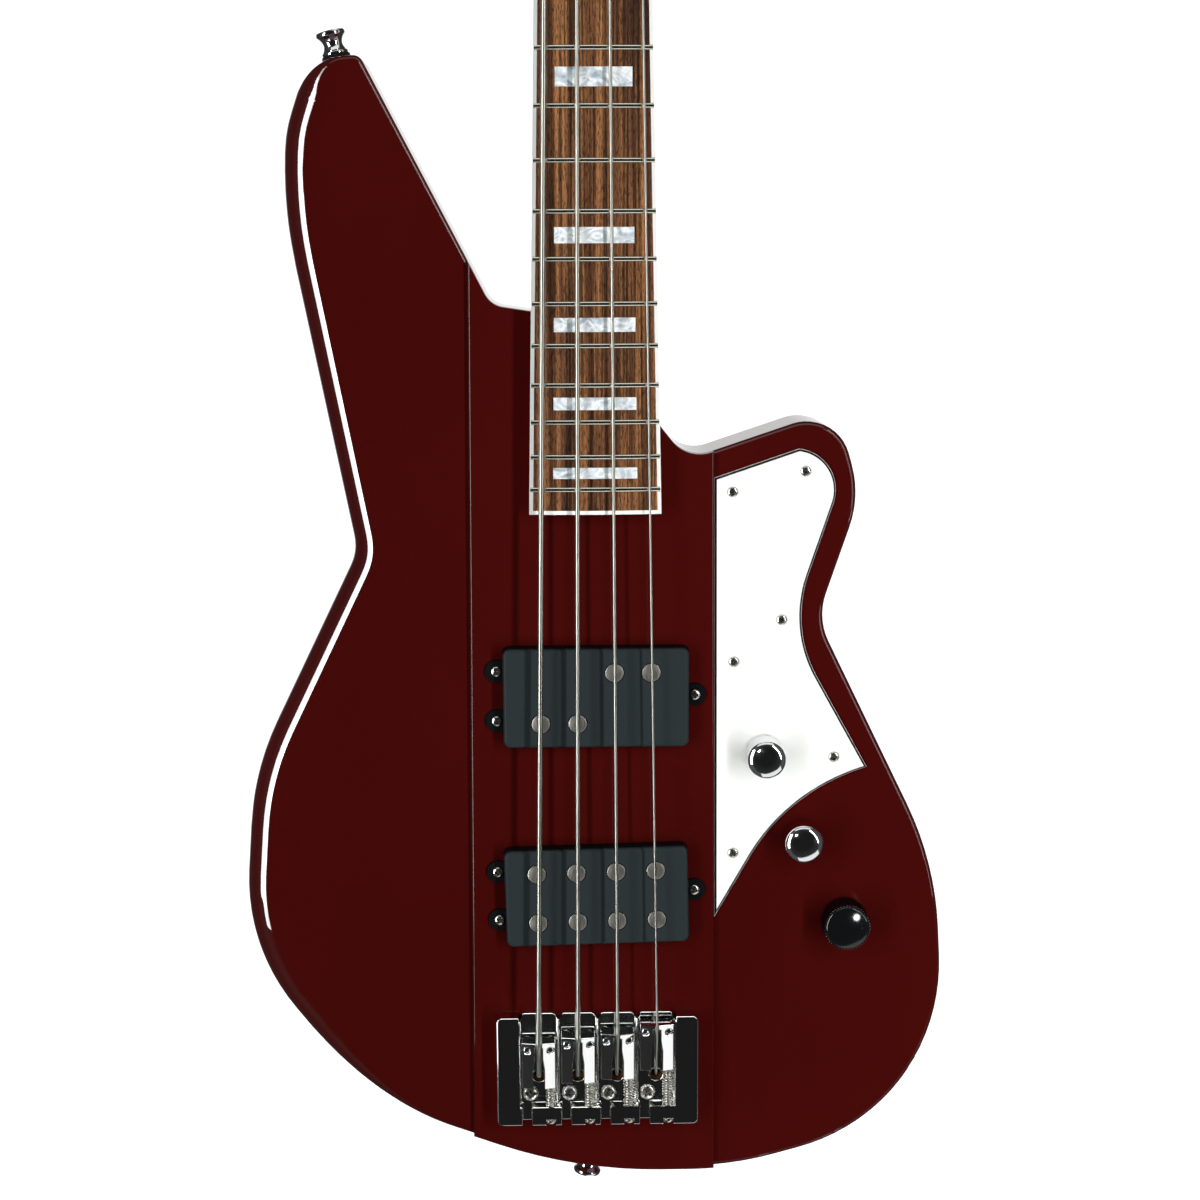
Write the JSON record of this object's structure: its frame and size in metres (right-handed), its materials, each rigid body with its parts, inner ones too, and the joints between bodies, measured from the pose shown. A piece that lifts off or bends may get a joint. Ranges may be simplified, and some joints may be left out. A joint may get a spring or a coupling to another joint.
{
  "type": "electric_bass_guitar",
  "caption": "Electric bass guitar with a raised centre block, bound fingerboard with block inlays, two pickups, individual-saddle bridge and sealed tuners",
  "frame": {"origin": "on the flat back of the body, under the end of the string scale at the bridge", "axes": "+Y along the neck to the headstock, +Z out of the front, +X to the treble side"},
  "size_m": [0.3412, 1.1733, 0.0686],
  "materials": {
    "body_lacquer": "glossy",
    "maple": "satin",
    "fingerboard_wood": "satin",
    "white_binding": "glossy",
    "pearl": "glossy",
    "bone": "satin",
    "nickel": "satin",
    "steel": "satin",
    "string_steel": "satin",
    "chrome": "polished",
    "brass": "satin",
    "white_plastic": "glossy",
    "black_plastic": "satin",
    "black_knob": "satin",
    "coil_copper": "satin",
    "foam": "matte",
    "felt": "matte"
  },
  "bodies": {
    "guitar": {"body": "body_lacquer", "bridge_base": "chrome", "bridge_pickup_coils": "coil_copper", "bridge_pickup_cover": "black_plastic", "bridge_pickup_poles": "nickel", "bridge_screws": "chrome", "control_cover": "black_plastic", "control_cover_screws": "nickel", "fingerboard": "fingerboard_wood", "fingerboard_binding": "white_binding", "frets": "nickel", "inlay_blocks": "pearl", "intonation_screws": "steel", "intonation_springs": "nickel", "jack_cup": "chrome", "jack_socket": "steel", "neck": "maple", "neck_bolt_ferrules": "chrome", "neck_bolts": "steel", "neck_pickup_coils": "coil_copper", "neck_pickup_cover": "black_plastic", "neck_pickup_poles": "nickel", "nut": "bone", "pickguard": "white_plastic", "pickguard_screws": "nickel", "pickup_foam": "foam", "pickup_screws": "nickel", "pot_nuts": "nickel", "potentiometers": "steel", "saddle_height_screws": "steel", "saddles": "chrome", "strap_button_screws": "steel", "strap_buttons": "chrome", "strap_felts": "felt", "string_a": "string_steel", "string_d": "string_steel", "string_e": "string_steel", "string_ferrules": "chrome", "string_g": "string_steel", "truss_rod": "steel", "tuner_bushings": "chrome", "tuner_housings": "chrome", "tuner_screws": "nickel"},
    "volume_control": {"volume_knob": "chrome", "volume_shaft": "brass"},
    "tone_control": {"tone_knob": "chrome", "tone_shaft": "brass"},
    "contour_control": {"contour_knob": "black_knob", "contour_shaft": "brass"},
    "key_e": {"tuner_key_e": "chrome"},
    "post_e": {"tuner_post_e": "chrome"},
    "key_a": {"tuner_key_a": "chrome"},
    "post_a": {"tuner_post_a": "chrome"},
    "key_d": {"tuner_key_d": "chrome"},
    "post_d": {"tuner_post_d": "chrome"},
    "key_g": {"tuner_key_g": "chrome"},
    "post_g": {"tuner_post_g": "chrome"}
  },
  "joints": [
    {"name": "volume_turn", "type": "hinge", "parent": "guitar", "child": "volume_control", "pos_m": [0.0814, 0.1265, 0.045], "axis": [0, 0, 1], "range_deg": [-150, 150]},
    {"name": "tone_turn", "type": "hinge", "parent": "guitar", "child": "tone_control", "pos_m": [0.1001, 0.0838, 0.045], "axis": [0, 0, 1], "range_deg": [-150, 150]},
    {"name": "contour_turn", "type": "hinge", "parent": "guitar", "child": "contour_control", "pos_m": [0.1215, 0.042, 0.045], "axis": [0, 0, 1], "range_deg": [-150, 150]},
    {"name": "key_e_turn", "type": "hinge", "parent": "guitar", "child": "key_e", "pos_m": [-0.02221, 0.91668, 0.023], "axis": [-0.9641, 0.2656, 0], "range_deg": [-270, 270]},
    {"name": "post_e_turn", "type": "hinge", "parent": "guitar", "child": "post_e", "pos_m": [-0.0246, 0.908, 0.045], "axis": [0, 0, 1], "range_deg": [-14, 14]},
    {"name": "key_a_turn", "type": "hinge", "parent": "guitar", "child": "key_a", "pos_m": [-0.01079, 0.95813, 0.023], "axis": [-0.9641, 0.2656, 0], "range_deg": [-270, 270]},
    {"name": "post_a_turn", "type": "hinge", "parent": "guitar", "child": "post_a", "pos_m": [-0.01318, 0.94946, 0.045], "axis": [0, 0, 1], "range_deg": [-14, 14]},
    {"name": "key_d_turn", "type": "hinge", "parent": "guitar", "child": "key_d", "pos_m": [0.00063, 0.99959, 0.023], "axis": [-0.9641, 0.2656, 0], "range_deg": [-270, 270]},
    {"name": "post_d_turn", "type": "hinge", "parent": "guitar", "child": "post_d", "pos_m": [-0.00176, 0.99091, 0.045], "axis": [0, 0, 1], "range_deg": [-14, 14]},
    {"name": "key_g_turn", "type": "hinge", "parent": "guitar", "child": "key_g", "pos_m": [0.01205, 1.04104, 0.023], "axis": [-0.9641, 0.2656, 0], "range_deg": [-270, 270]},
    {"name": "post_g_turn", "type": "hinge", "parent": "guitar", "child": "post_g", "pos_m": [0.00966, 1.03237, 0.045], "axis": [0, 0, 1], "range_deg": [-14, 14]}
  ],
  "couplings": [
    {"joint": "post_e_turn", "follows": "key_e_turn", "ratio": 0.05},
    {"joint": "post_a_turn", "follows": "key_a_turn", "ratio": 0.05},
    {"joint": "post_d_turn", "follows": "key_d_turn", "ratio": 0.05},
    {"joint": "post_g_turn", "follows": "key_g_turn", "ratio": 0.05}
  ]
}
